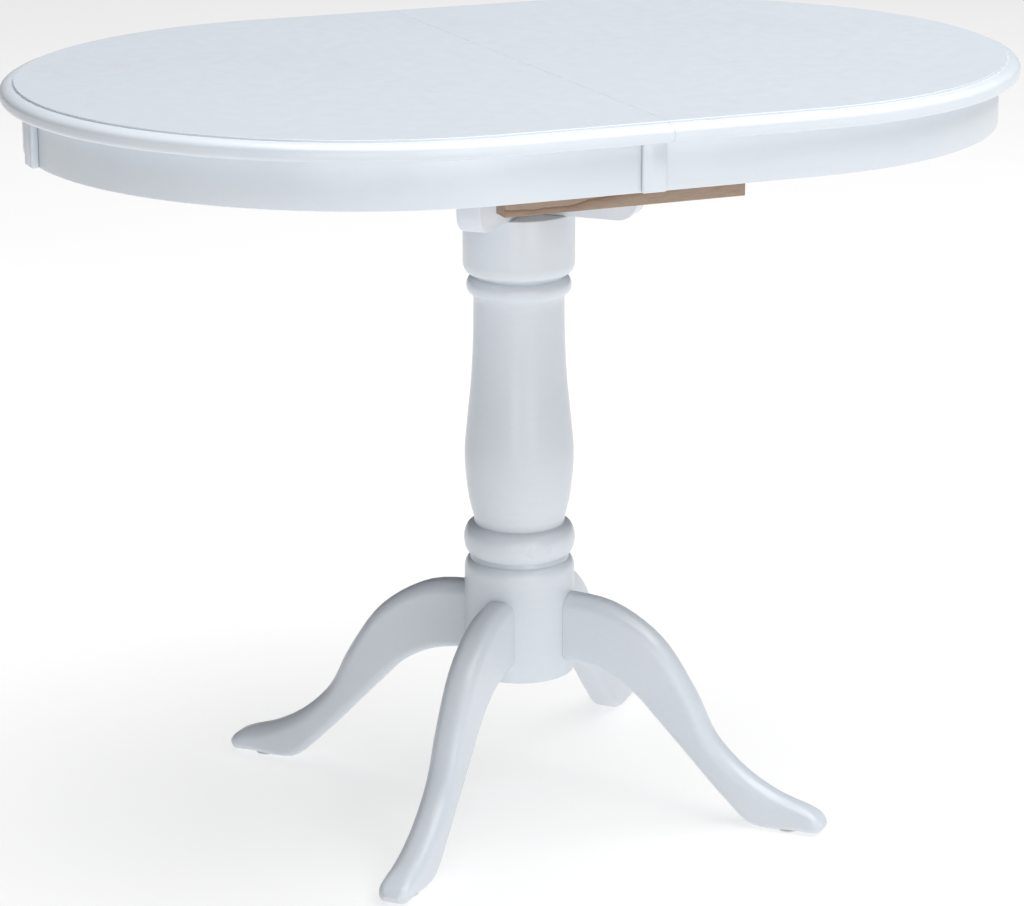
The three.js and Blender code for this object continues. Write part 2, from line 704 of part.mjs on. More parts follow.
// Runner under one half of the top, with a tongue in the groove of the fixed rail.
// The left half runs outside the rails and the right half runs inside them.
function runner(side, face) {
  const tongueTip = runnerStep - TONGUE_DEPTH - SLIDE_GAP;
  const outline = [
    [runnerStep, runnerUnder],
    [runnerStep + RUNNER_WIDTH, runnerUnder],
    [runnerStep + RUNNER_WIDTH, apronTop],
    [runnerStep, apronTop],
    [runnerStep, tongueMid + TONGUE_HEIGHT / 2],
    [tongueTip, tongueMid + TONGUE_HEIGHT / 2],
    [tongueTip, tongueMid - TONGUE_HEIGHT / 2],
    [runnerStep, tongueMid - TONGUE_HEIGHT / 2],
  ];
  const outside = -side * face;
  const placed = outside > 0 ? outline : outline.map(([y, z]) => [-y, z]).reverse();
  const low = side < 0 ? -railReach : -RUNNER_PAST_SEAM;
  const bar = alongX(placed, low, low + railReach + RUNNER_PAST_SEAM);
  bar.translate(0, face * railOffset, 0);
  return bar;
}

// One half of the folded leaf. Level -1 is the lower half, level 1 the upper one.
function leafHalf(level) {
  const half = OPENING / 2 - TOUCH_GAP;
  const low = level < 0 ? leafMid - LEAF_SPACE / 2 - SLAB_THICK : leafMid + LEAF_SPACE / 2;
  const shape = new THREE.Shape();
  shape.moveTo(-half, LEAF_SHIFT - leafLength / 2);
  shape.lineTo(half, LEAF_SHIFT - leafLength / 2);
  shape.lineTo(half, LEAF_SHIFT + leafLength / 2);
  shape.lineTo(-half, LEAF_SHIFT + leafLength / 2);
  return raised(shape, low, low + SLAB_THICK, 1);
}

// Place of the hinge line of the folded leaf.
function hingeLine() {
  return LEAF_SHIFT + leafLength / 2 + HINGE_BARREL + TOUCH_GAP;
}

// One leaf of a butt hinge, closed face to face with its partner. The lower one has the outer barrels.
function hingeLeaf(level, x) {
  const y = hingeLine();
  const away = leafMid + level * (LEAF_SPACE / 2 - TOUCH_GAP);
  const near = away - level * HINGE_PLATE;
  const low = Math.min(away, near);
  const side = HINGE_WIDTH / 2;
  const plate = boxBetween([x - side, y - HINGE_LEAF_LONG, low], [x + side, y, low + HINGE_PLATE]);
  const third = HINGE_WIDTH / 6;
  const spans = level < 0 ? [[-3, -1], [1, 3]] : [[-1, 1]];
  const free = level < 0 ? [[-1, 1]] : [[-3, -1], [1, 3]];
  const barrels = spans.map(([from, to]) => {
    const low = from * third + (from === -1 || from === 1 ? TOUCH_GAP : 0);
    const high = to * third - (to === -1 || to === 1 ? TOUCH_GAP : 0);
    return levelRod(y, leafMid, HINGE_BARREL, x + low, x + high, 12);
  });
  const rooms = free.map(([from, to]) => boxBetween(
    [x + from * third - TOUCH_GAP, y - HINGE_BARREL - TOUCH_GAP, leafMid - HINGE_BARREL - 1],
    [x + to * third + TOUCH_GAP, y + HINGE_BARREL + 1, leafMid + HINGE_BARREL + 1],
  ));
  const bore = levelRod(y, leafMid, HINGE_PIN + BORE_GAP, x - HINGE_WIDTH, x + HINGE_WIDTH, 10);
  return cut(cut(join(plate, ...barrels), ...rooms), bore);
}

function hingePin(x) {
  return levelRod(hingeLine(), leafMid, HINGE_PIN, x - HINGE_WIDTH / 2, x + HINGE_WIDTH / 2, 10);
}

// Turns a lock piece made for the left half at the -Y side to the half asked for.
function placeLock(geometry, side) {
  geometry.rotateZ(side < 0 ? 0 : Math.PI);
  return geometry;
}

function lockPinFoot() {
  return apronTop - LOCK_PLATE - LOCK_LEVER_THICK - LOCK_HANG;
}

// Plate and pivot of a lock, screwed under the slab beside the seam.
function lockPlate(side) {
  const low = apronTop - LOCK_PLATE;
  const plate = boxBetween(
    [-LOCK_PIVOT_INSET - lockPlateHalf, -lockOffset - lockPlateHalf, low],
    [-LOCK_PIVOT_INSET + lockPlateHalf, -lockOffset + lockPlateHalf, apronTop],
  );
  const foot = lockPinFoot();
  const pivot = uprightRod(-LOCK_PIVOT_INSET, -lockOffset, LOCK_PIN_RADIUS, foot + 1, low + 1);
  const rivet = uprightRod(-LOCK_PIVOT_INSET, -lockOffset, 2 * LOCK_PIN_RADIUS, foot, foot + LOCK_PLATE);
  return placeLock(join(plate, pivot, rivet), side);
}

// Swinging hook of a lock, resting parallel to the seam with its slot ahead of its swing.
function lockLever(side) {
  const high = apronTop - LOCK_PLATE - TOUCH_GAP;
  const low = lockPinFoot() + LOCK_PLATE + TOUCH_GAP;
  const shape = new THREE.Shape();
  const tip = LOCK_THROW + LOCK_TIP;
  shape.absarc(0, 0, LOCK_LEVER_HALF, Math.PI / 2, 1.5 * Math.PI, false);
  shape.lineTo(tip - LOCK_LEVER_HALF, -LOCK_LEVER_HALF);
  shape.absarc(tip - LOCK_LEVER_HALF, 0, LOCK_LEVER_HALF, -Math.PI / 2, Math.PI / 2, false);
  const bar = raised(shape, low, high, 0, 8);
  const knob = uprightRod(LOCK_THROW / 2, 0, LOCK_LEVER_HALF / 2, low - 2 * LOCK_LEVER_THICK, low + 1, 12);
  const room = LOCK_PIN_RADIUS + LOCK_SLOT_GAP;
  const slot = new THREE.Shape();
  slot.absarc(0, 0, LOCK_THROW + room, -room / LOCK_THROW, Math.PI / 4, false);
  slot.absarc(0, 0, LOCK_THROW - room, Math.PI / 4, -room / LOCK_THROW, true);
  const notch = raised(slot, 0, 2 * TOP_HEIGHT, 0, 10);
  const bore = uprightRod(0, 0, LOCK_PIN_RADIUS + BORE_GAP, 0, 2 * TOP_HEIGHT);
  const lever = cut(join(bar, knob), notch, bore);
  lever.rotateZ(-Math.PI / 2);
  lever.translate(-LOCK_PIVOT_INSET, -lockOffset, 0);
  return placeLock(lever, side);
}

// Striker of a lock on the other half: a plate and the pin that the hook takes hold of.
function lockStriker(side) {
  const low = apronTop - LOCK_PLATE;
  const x = LOCK_THROW - LOCK_PIVOT_INSET;
  const half = x - LOCK_STRIKER_CLEAR;
  const plate = boxBetween([x - half, -lockOffset - half, low], [x + half, -lockOffset + half, apronTop]);
  const pin = uprightRod(x, -lockOffset, LOCK_PIN_RADIUS, lockPinFoot(), low + 1);
  return placeLock(join(plate, pin), side);
}

function addPedestal() {
  addPiece('column', column(), whiteLacquer);
  const names = ['far_right', 'far_left', 'near_left', 'near_right'];
  legTurns().forEach((turn, i) => {
    addPiece(`leg_${names[i]}`, leg(turn), whiteLacquer);
    addPiece(`leg_bolt_${names[i]}`, legBolt(turn), zincSteel);
    addPiece(`leg_nut_${names[i]}`, legNut(turn), zincSteel);
    addPiece(`foot_glide_${names[i]}`, glide(turn), feltPlastic);
    addPiece(`board_screw_${names[i]}`, boardScrew(turn), zincSteel);
  });
  addPiece('bearer_bar_lower', bearerBar(true, Math.PI / 4), whiteLacquer);
  addPiece('bearer_bar_upper', bearerBar(false, -Math.PI / 4), whiteLacquer);
  addPiece('bearer_bolt', bearerBolt(), zincSteel);
  addPiece('mounting_board', mountingBoard(), bareWood);
  addPiece('board_cleat_near', boardCleat(-1), bareWood);
  addPiece('board_cleat_far', boardCleat(1), bareWood);
}

function addSlides() {
  [['near', -1], ['far', 1]].forEach(([place, face]) => {
    addPiece(`slide_rail_${place}`, centreRail(face), bareWood);
    addPiece(`runner_left_${place}`, runner(-1, face), bareWood);
    addPiece(`runner_right_${place}`, runner(1, face), bareWood);
  });
}

function addTop() {
  [['left', -1], ['right', 1]].forEach(([half, side]) => {
    addPiece(`top_${half}`, halfTop(side), topLacquer);
    addPiece(`apron_${half}_near`, apronQuarter(side, -1), whiteLacquer);
    addPiece(`apron_${half}_far`, apronQuarter(side, 1), whiteLacquer);
    addPiece(`end_block_${half}`, endBlock(side), whiteLacquer);
    addPiece(`seam_block_${half}`, seamBlock(side), whiteLacquer);
  });
  ['near', 'middle', 'far'].forEach((place, i) => {
    addPiece(`seam_dowel_${place}`, seamDowel(dowelPlaces()[i]), bareWood);
  });
}

function addLocks() {
  [['near', -1], ['far', 1]].forEach(([place, side]) => {
    addPiece(`lock_plate_${place}`, lockPlate(side), yellowBrass);
    addPiece(`lock_lever_${place}`, lockLever(side), yellowBrass);
    addPiece(`lock_striker_${place}`, lockStriker(side), yellowBrass);
  });
}

function addLeaf() {
  addPiece('leaf_lower', leafHalf(-1), topLacquer);
  addPiece('leaf_upper', leafHalf(1), topLacquer);
  [['left', -1], ['right', 1]].forEach(([place, side]) => {
    const x = side * HINGE_OFFSET;
    addPiece(`leaf_hinge_lower_${place}`, hingeLeaf(-1, x), yellowBrass);
    addPiece(`leaf_hinge_upper_${place}`, hingeLeaf(1, x), yellowBrass);
    addPiece(`leaf_hinge_pin_${place}`, hingePin(x), zincSteel);
  });
}

addPedestal();
addSlides();
addTop();
addLocks();
addLeaf();

export default table;
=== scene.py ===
import json
import math

import bmesh
import bpy
from mathutils import Matrix, Vector


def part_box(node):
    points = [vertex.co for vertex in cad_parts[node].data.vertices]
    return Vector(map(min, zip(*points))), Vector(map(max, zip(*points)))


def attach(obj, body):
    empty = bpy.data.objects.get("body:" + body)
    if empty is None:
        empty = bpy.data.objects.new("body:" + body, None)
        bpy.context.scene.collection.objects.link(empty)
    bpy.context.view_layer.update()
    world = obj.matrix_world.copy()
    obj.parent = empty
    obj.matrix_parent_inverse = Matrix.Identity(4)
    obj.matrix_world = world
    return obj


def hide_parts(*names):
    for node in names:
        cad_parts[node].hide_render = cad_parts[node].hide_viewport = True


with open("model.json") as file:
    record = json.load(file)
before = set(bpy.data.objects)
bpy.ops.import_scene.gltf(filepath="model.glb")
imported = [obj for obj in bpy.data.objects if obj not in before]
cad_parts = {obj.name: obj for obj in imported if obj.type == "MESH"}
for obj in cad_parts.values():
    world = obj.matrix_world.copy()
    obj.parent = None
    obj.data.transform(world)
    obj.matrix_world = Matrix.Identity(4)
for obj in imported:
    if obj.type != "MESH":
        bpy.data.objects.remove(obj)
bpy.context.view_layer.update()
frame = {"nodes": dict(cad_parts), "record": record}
record = frame["record"]
bodyOf = {node: body for body, members in record["behaviour"]["bodies"].items() for node in members}
print("frame loaded:", len(bodyOf), "nodes")


def deselectAll():
    # an operator acts on all that is selected, so each piece starts from nothing selected
    if bpy.context.object and bpy.context.object.mode != "OBJECT":
        bpy.ops.object.mode_set(mode="OBJECT")
    bpy.ops.object.select_all(action="DESELECT")


def activate(piece):
    deselectAll()
    piece.select_set(True)
    bpy.context.view_layer.objects.active = piece


def editAll(piece):
    activate(piece)
    bpy.ops.object.mode_set(mode="EDIT")
    bpy.ops.mesh.select_all(action="SELECT")


def pickFaces(piece, test):
    # in edit mode, leaves selected only the faces whose centre and normal pass the test
    bpy.ops.mesh.select_mode(type="FACE")
    bpy.ops.mesh.select_all(action="DESELECT")
    mesh = bmesh.from_edit_mesh(piece.data)
    mesh.faces.ensure_lookup_table()
    for face in mesh.faces:
        face.select_set(test(face.calc_center_median(), face.normal))
    bmesh.update_edit_mesh(piece.data)


def pickEdges(piece, test):
    # in edit mode, leaves selected only the edges whose two ends pass the test
    bpy.ops.mesh.select_mode(type="EDGE")
    bpy.ops.mesh.select_all(action="DESELECT")
    mesh = bmesh.from_edit_mesh(piece.data)
    for edge in mesh.edges:
        edge.select_set(test(edge.verts[0].co, edge.verts[1].co))
    bmesh.update_edit_mesh(piece.data)


def closeEdit():
    bpy.ops.mesh.select_all(action="SELECT")
    bpy.ops.mesh.remove_doubles(threshold=0.00001)
    bpy.ops.mesh.normals_make_consistent(inside=False)
    bpy.ops.object.mode_set(mode="OBJECT")


def nameActive(name):
    piece = bpy.context.object
    piece.name = name
    piece.data.name = name
    return piece


def applyPlace(piece):
    activate(piece)
    bpy.ops.object.transform_apply(location=True, rotation=True, scale=True)


def addModifier(piece, kind, **settings):
    activate(piece)
    modifier = piece.modifiers.new(kind.title(), kind)
    for key, value in settings.items():
        setattr(modifier, key, value)
    bpy.ops.object.modifier_apply(modifier=modifier.name)


def ease(piece, width, segments=3, angle=35):
    # rounds the sharp edges of a piece
    addModifier(piece, "BEVEL", width=width, segments=segments, limit_method="ANGLE",
                angle_limit=math.radians(angle), miter_outer="MITER_ARC", use_clamp_overlap=True)


def carve(piece, cutters):
    # cuts the cutters out of a piece and throws them away
    for cutter in cutters:
        addModifier(piece, "BOOLEAN", operation="DIFFERENCE", object=cutter, solver="EXACT")
        bpy.data.objects.remove(cutter)
    editAll(piece)
    bpy.ops.mesh.dissolve_degenerate(threshold=0.000002)
    closeEdit()


def smooth(piece, angle=35):
    activate(piece)
    bpy.ops.object.shade_smooth_by_angle(angle=math.radians(angle))


def copyPiece(piece, name):
    activate(piece)
    bpy.ops.object.duplicate(linked=False)
    return nameActive(name)


def turnPiece(piece, angle):
    # turns a piece about the upright axis through the origin
    piece.rotation_euler = (0, 0, angle)
    applyPlace(piece)


def rodBetween(start, end, radius, sides=32):
    start, end = Vector(start), Vector(end)
    deselectAll()
    bpy.ops.mesh.primitive_cylinder_add(vertices=sides, radius=radius, depth=(end - start).length,
                                        location=(start + end) / 2)
    rod = bpy.context.object
    rod.rotation_euler = (end - start).to_track_quat("Z", "Y").to_euler()
    applyPlace(rod)
    return rod


def boxBetween(name, low, high):
    low, high = Vector(low), Vector(high)
    deselectAll()
    bpy.ops.mesh.primitive_cube_add(size=1, location=(low + high) / 2, scale=high - low)
    box = nameActive(name)
    applyPlace(box)
    return box


def standFor(piece, node, material):
    # the piece takes the place, the body and the finish of a CAD node
    piece.data.materials.clear()
    piece.data.materials.append(material)
    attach(piece, bodyOf[node])
    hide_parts(node)


def addDetail(piece, body, material):
    piece.data.materials.clear()
    piece.data.materials.append(material)
    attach(piece, body)


def startMaterial(name):
    material = bpy.data.materials.new(name)
    material.use_nodes = True
    shader = material.node_tree.nodes["Principled BSDF"]
    return material, material.node_tree, shader


def node(tree, kind, **settings):
    made = tree.nodes.new(kind)
    for key, value in settings.items():
        if key in made.inputs:
            made.inputs[key].default_value = value
        else:
            setattr(made, key, value)
    return made


def join(tree, source, target):
    tree.links.new(source, target)


def objectSpace(tree, scale=(1, 1, 1), turn=(0, 0, 0), shift=(0, 0, 0)):
    place = node(tree, "ShaderNodeTexCoord")
    mapping = node(tree, "ShaderNodeMapping", Scale=scale, Rotation=turn, Location=shift)
    join(tree, place.outputs["Object"], mapping.inputs["Vector"])
    return mapping.outputs["Vector"]


def noise(tree, vector, scale, detail=3.0, roughness=0.5, distortion=0.0):
    made = node(tree, "ShaderNodeTexNoise", Scale=scale, Detail=detail, Roughness=roughness,
                Distortion=distortion)
    join(tree, vector, made.inputs["Vector"])
    return made.outputs["Fac"]


def mathNode(tree, operation, first, second=None, third=None):
    made = node(tree, "ShaderNodeMath", operation=operation)
    for i, value in enumerate((first, second, third)):
        if value is None:
            continue
        if isinstance(value, (int, float)):
            made.inputs[i].default_value = value
        else:
            join(tree, value, made.inputs[i])
    return made.outputs[0]


def spread(tree, value, low, high, fromLow=0.0, fromHigh=1.0):
    made = node(tree, "ShaderNodeMapRange")
    made.inputs["From Min"].default_value = fromLow
    made.inputs["From Max"].default_value = fromHigh
    made.inputs["To Min"].default_value = low
    made.inputs["To Max"].default_value = high
    join(tree, value, made.inputs["Value"])
    return made.outputs[0]


def ramp(tree, value, stops):
    made = node(tree, "ShaderNodeValToRGB")
    band = made.color_ramp
    while len(band.elements) < len(stops):
        band.elements.new(0.5)
    for element, (place, colour) in zip(band.elements, stops):
        element.position = place
        element.color = (*colour, 1)
    join(tree, value, made.inputs["Fac"])
    return made.outputs["Color"]


def blendColour(tree, amount, first, second, mode="MIX"):
    made = node(tree, "ShaderNodeMix", data_type="RGBA", blend_type=mode)
    for socket, value in ((made.inputs[0], amount), (made.inputs[6], first), (made.inputs[7], second)):
        if isinstance(value, (int, float)):
            socket.default_value = value
        elif isinstance(value, tuple):
            socket.default_value = (*value, 1)
        else:
            join(tree, value, socket)
    return made.outputs[2]


def bumps(tree, shader, layers):
    # stacks height fields, each (height, strength, distance), into the shader's normal
    normal = None
    for height, strength, distance in layers:
        made = node(tree, "ShaderNodeBump", Strength=strength, Distance=distance)
        join(tree, height, made.inputs["Height"])
        if normal:
            join(tree, normal, made.inputs["Normal"])
        normal = made.outputs["Normal"]
    join(tree, normal, shader.inputs["Normal"])


lacquer = {
    "pale": (0.72, 0.765, 0.815),
    "shade": (0.67, 0.715, 0.77),
    # dust and shade colour: tints the grain pores, and is also the painted shade laid into crevices
    "dustAndShade": (0.5, 0.53, 0.56),
    "roughness": (0.27, 0.4),
    "mottleScale": 5.0,
    "fineScale": 60.0,
    "grainScale": (9.0, 190.0, 190.0),
    "peelScale": 620.0,
    "coat": 0.25,
    "coatRoughness": 0.2,
}


def makeLacquer(name, turn=(0, 0, 0), grain=1.0, shadeCrevices=True, peeled=1.0):
    # sprayed satin lacquer: slight mottle, orange peel, faint grain from below, and painted shade
    # darkening its corners and hollows
    material, tree, shader = startMaterial(name)
    flat = objectSpace(tree)
    along = objectSpace(tree, scale=lacquer["grainScale"], turn=turn)
    mottle = noise(tree, flat, lacquer["mottleScale"], 4.0)
    fine = noise(tree, flat, lacquer["fineScale"], 3.0)
    pores = noise(tree, along, 1.0, 4.0, 0.6, 0.3)
    peel = noise(tree, flat, lacquer["peelScale"], 2.0)
    patches = spread(tree, mottle, 0.0, 1.0, 0.3, 0.7)
    colour = blendColour(tree, patches, lacquer["pale"], lacquer["shade"])
    if grain:
        poreMask = spread(tree, pores, 0.0, 0.10 * grain, 0.52, 0.8)
        colour = blendColour(tree, poreMask, colour, lacquer["dustAndShade"])
    # painted shade: hollows and inside corners, found by low pointiness, are darkened towards the
    # dust-and-shade colour as if in shade
    if shadeCrevices:
        edges = node(tree, "ShaderNodeNewGeometry")
        creviceShade = spread(tree, edges.outputs["Pointiness"], 0.3, 0.0, 0.42, 0.49)
        colour = blendColour(tree, creviceShade, colour, lacquer["dustAndShade"])
    join(tree, colour, shader.inputs["Base Color"])
    low, high = lacquer["roughness"]
    smear = mathNode(tree, "MULTIPLY_ADD", fine, 0.35, mathNode(tree, "MULTIPLY", mottle, 0.65))
    join(tree, spread(tree, smear, low, high, 0.3, 0.7), shader.inputs["Roughness"])
    shader.inputs["Coat Weight"].default_value = lacquer["coat"]
    shader.inputs["Coat Roughness"].default_value = lacquer["coatRoughness"]
    bumps(tree, shader, [(pores, 0.10 * grain, 0.0004), (fine, 0.03 * peeled, 0.0006),
                         (peel, 0.05 * peeled, 0.00015)])
    return material


beech = {
    "light": (0.35, 0.255, 0.19),
    "mid": (0.27, 0.18, 0.125),
    "dark": (0.16, 0.095, 0.06),
    "ringWidth": 0.0042,
    "pithSpread": 0.05,
    "pithBelow": (0.58, 0.64),
    "wander": 0.022,
    "wobble": 0.0016,
    "tints": (0.75, 1.22),
    "roughness": (0.5, 0.68),
}


def makeSolidWood(name, turn=(0, 0, 0), stripWidth=0.0, seed=0.0, lighter=0.0):
    # bare hardwood as a solid: growth rings about a pith below the piece, running along the turned X;
    # with a strip width it is glued up from strips, each with its own rings and tint
    material, tree, shader = startMaterial(name)
    space = objectSpace(tree, turn=turn)
    parts = node(tree, "ShaderNodeSeparateXYZ")
    join(tree, space, parts.inputs[0])
    along, across, up = parts.outputs
    if stripWidth:
        strip = mathNode(tree, "FLOOR", mathNode(tree, "DIVIDE", across, stripWidth))
    else:
        strip = mathNode(tree, "MULTIPLY", across, 0.0)
    chance = node(tree, "ShaderNodeTexWhiteNoise", noise_dimensions="1D")
    join(tree, mathNode(tree, "ADD", strip, seed), chance.inputs["W"])
    chances = node(tree, "ShaderNodeSeparateColor")
    join(tree, chance.outputs["Color"], chances.inputs[0])
    tint, pithAcross, pithUp = chances.outputs
    stretched = objectSpace(tree, scale=(1.6, 7.0, 7.0), turn=turn, shift=(seed, 0, 0))
    wander = noise(tree, stretched, 1.0, 3.0)
    wobble = noise(tree, space, 45.0, 3.0)
    aside = spread(tree, pithAcross, -beech["pithSpread"], beech["pithSpread"])
    sideways = mathNode(tree, "ADD", across, aside)
    if stripWidth:
        centre = mathNode(tree, "MULTIPLY", mathNode(tree, "ADD", strip, 0.5), stripWidth)
        sideways = mathNode(tree, "SUBTRACT", sideways, centre)
    lift = mathNode(tree, "SUBTRACT", up, spread(tree, pithUp, *beech["pithBelow"]))
    squares = [mathNode(tree, "MULTIPLY", value, value) for value in (sideways, lift)]
    reach = mathNode(tree, "SQRT", mathNode(tree, "ADD", *squares))
    reach = mathNode(tree, "MULTIPLY_ADD", wander, beech["wander"], reach)
    reach = mathNode(tree, "MULTIPLY_ADD", wobble, beech["wobble"], reach)
    ring = mathNode(tree, "FRACT", mathNode(tree, "DIVIDE", reach, beech["ringWidth"]))
    colour = ramp(tree, ring, [(0.0, beech["light"]), (0.55, beech["light"]), (0.86, beech["mid"]),
                               (0.97, beech["dark"]), (1.0, beech["light"])])
    slender = objectSpace(tree, scale=(60.0, 900.0, 900.0), turn=turn)
    flecks = noise(tree, slender, 1.0, 3.0, 0.65)
    colour = blendColour(tree, spread(tree, flecks, 0.0, 0.55, 0.5, 0.75), colour, beech["dark"])
    darkest, lightest = beech["tints"]
    shade = spread(tree, tint, darkest + lighter, lightest + lighter)
    grey = node(tree, "ShaderNodeCombineColor")
    for socket in grey.inputs[:3]:
        join(tree, shade, socket)
    colour = blendColour(tree, 1.0, colour, grey.outputs[0], "MULTIPLY")
    if stripWidth:
        inStrip = mathNode(tree, "FRACT", mathNode(tree, "DIVIDE", across, stripWidth))
        fromEdge = mathNode(tree, "ABSOLUTE", mathNode(tree, "SUBTRACT", inStrip, 0.5))
        glueLine = spread(tree, fromEdge, 0.0, 0.75, 0.488, 0.499)
        colour = blendColour(tree, glueLine, colour, beech["dark"])
    join(tree, colour, shader.inputs["Base Color"])
    low, high = beech["roughness"]
    join(tree, spread(tree, flecks, low, high, 0.3, 0.7), shader.inputs["Roughness"])
    bumps(tree, shader, [(flecks, 0.3, 0.0003), (ring, 0.08, 0.0002)])
    return material


metals = {
    "zinc": {"bright": (0.66, 0.68, 0.7), "dull": (0.47, 0.49, 0.52), "roughness": (0.24, 0.46)},
    "brass": {"bright": (0.78, 0.62, 0.32), "dull": (0.55, 0.42, 0.2), "roughness": (0.22, 0.44)},
}


def makeMetal(name, look, thread=None):
    # plated steel: cloudy plating with fine drawn scratches, and thread lines where asked for
    material, tree, shader = startMaterial(name)
    values = metals[look]
    space = objectSpace(tree)
    cloud = noise(tree, space, 90.0, 4.0)
    scratch = noise(tree, objectSpace(tree, scale=(80.0, 2600.0, 2600.0)), 1.0, 2.0)
    colour = ramp(tree, cloud, [(0.35, values["dull"]), (0.65, values["bright"])])
    join(tree, colour, shader.inputs["Base Color"])
    low, high = values["roughness"]
    join(tree, spread(tree, cloud, high, low, 0.35, 0.65), shader.inputs["Roughness"])
    shader.inputs["Metallic"].default_value = 1.0
    layers = [(scratch, 0.12, 0.00008)]
    if thread is not None:
        ridges = node(tree, "ShaderNodeTexWave", wave_type="BANDS", bands_direction="X",
                      wave_profile="TRI", Scale=250.0)
        join(tree, objectSpace(tree, turn=thread), ridges.inputs["Vector"])
        layers.append((ridges.outputs["Fac"], 0.9, 0.0006))
    bumps(tree, shader, layers)
    return material


glidePlasticLook = {
    "dull": (0.62, 0.62, 0.6),
    "pale": (0.72, 0.72, 0.7),
    "roughness": (0.45, 0.75),
}


def makeGlidePlastic(name):
    # moulded plastic, scuffed by the floor
    material, tree, shader = startMaterial(name)
    space = objectSpace(tree)
    cloud = noise(tree, space, 140.0, 3.0)
    scuff = noise(tree, objectSpace(tree, scale=(500.0, 90.0, 90.0)), 1.0, 3.0)
    colour = ramp(tree, cloud, [(0.3, glidePlasticLook["dull"]), (0.7, glidePlasticLook["pale"])])
    join(tree, colour, shader.inputs["Base Color"])
    low, high = glidePlasticLook["roughness"]
    join(tree, spread(tree, scuff, low, high, 0.3, 0.7), shader.inputs["Roughness"])
    grit = noise(tree, space, 2400.0, 2.0)
    bumps(tree, shader, [(scuff, 0.2, 0.0002), (grit, 0.15, 0.00008)])
    return material


legTurns = {
    "far_right": math.pi / 4,
    "far_left": 3 * math.pi / 4,
    "near_left": 5 * math.pi / 4,
    "near_right": 7 * math.pi / 4,
}
upright = (0, math.pi / 2, 0)
topLacquer = makeLacquer("topLacquer", grain=0.0, shadeCrevices=False, peeled=0.15)
apronLacquer = makeLacquer("apronLacquer")
columnLacquer = makeLacquer("columnLacquer", turn=upright)
legLacquers = {}
zincThread = {}
for place, turn in legTurns.items():
    alongLeg = (0, 0, -turn)
    legLacquers[place] = makeLacquer("legLacquer_" + place, turn=alongLeg)
    zincThread[place] = makeMetal("zincThread_" + place, "zinc", thread=alongLeg)
boardWood = makeSolidWood("boardWood", turn=(0, 0, math.pi / 2), stripWidth=0.043, seed=3.0)
cleatWood = makeSolidWood("cleatWood", seed=5.0)
slideWood = makeSolidWood("slideWood", seed=11.0, lighter=0.15)
runnerWood = makeSolidWood("runnerWood", seed=17.0, lighter=0.2)
dowelWood = makeSolidWood("dowelWood", seed=23.0, lighter=0.35)
zincPlate = makeMetal("zincPlate", "zinc")
zincUprightThread = makeMetal("zincUprightThread", "zinc", thread=upright)
brassPlate = makeMetal("brassPlate", "brass")
glidePlastic = makeGlidePlastic("glidePlastic")
print("materials made")


boreGap = 0.0003
topLow, topHigh = (Vector(corner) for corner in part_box("top_right"))
dowelLow, dowelHigh = (Vector(corner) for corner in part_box("seam_dowel_near"))
top = {
    "length": 2 * topHigh.x,
    "width": topHigh.y - topLow.y,
    "upper": topHigh.z,
    "lower": topLow.z,
    "seamGap": topLow.x,
    "endSegments": 56,
    "noseWide": 0.012,
    "noseHigh": 0.007,
    "noseSteps": 8,
    "stepUp": 0.002,
    "stepIn": 0.001,
    "lipEase": 0.0003,
    "rimLean": 0.0002,
    "rimEase": 0.0004,
    "lowerRound": 0.005,
    "lowerSteps": 5,
    "seamEase": 0.00015,
    "dowelRadius": (dowelHigh.z - dowelLow.z) / 2 + boreGap,
    "dowelPlace": -(dowelLow.y + dowelHigh.y) / 2,
    "dowelSeat": boreGap - dowelLow.x,
    "dowelReach": 0.002 + dowelHigh.x,
}


def roundedPlate(name, inset, height):
    # flat outline of the top, drawn in by inset: a plane whose corners are rounded until they meet
    deselectAll()
    bpy.ops.mesh.primitive_plane_add(size=1, location=(0, 0, height))
    plate = nameActive(name)
    plate.scale = (top["length"] - 2 * inset, top["width"] - 2 * inset, 1)
    applyPlace(plate)
    editAll(plate)
    bpy.ops.mesh.bevel(offset=top["width"] / 2 - inset, segments=top["endSegments"],
                       affect="VERTICES", clamp_overlap=False)
    bpy.ops.mesh.select_all(action="SELECT")
    bpy.ops.mesh.remove_doubles(threshold=0.0001)
    return plate


def mould(plate, faceTest, steps):
    # draws a face through (inset, rise) steps, as a cutter shapes an edge
    pickFaces(plate, faceTest)
    for inset, rise in steps:
        bpy.ops.mesh.inset(thickness=inset, depth=rise, use_even_offset=True, use_boundary=True)


def quarterSteps(wide, high, count):
    # steps of a quarter round from its widest place to its top
    steps = []
    for i in range(count):
        start, end = (math.pi / 2) * i / count, (math.pi / 2) * (i + 1) / count
        inward = wide * (math.cos(start) - math.cos(end))
        steps.append((inward, high * (math.sin(end) - math.sin(start))))
    return steps


def cutHalf(piece, side):
    # keeps one side of the seam and closes the cut
    editAll(piece)
    bpy.ops.mesh.bisect(plane_co=(side * top["seamGap"], 0, 0), plane_no=(-side, 0, 0),
                        use_fill=True, clear_outer=True)
    closeEdit()


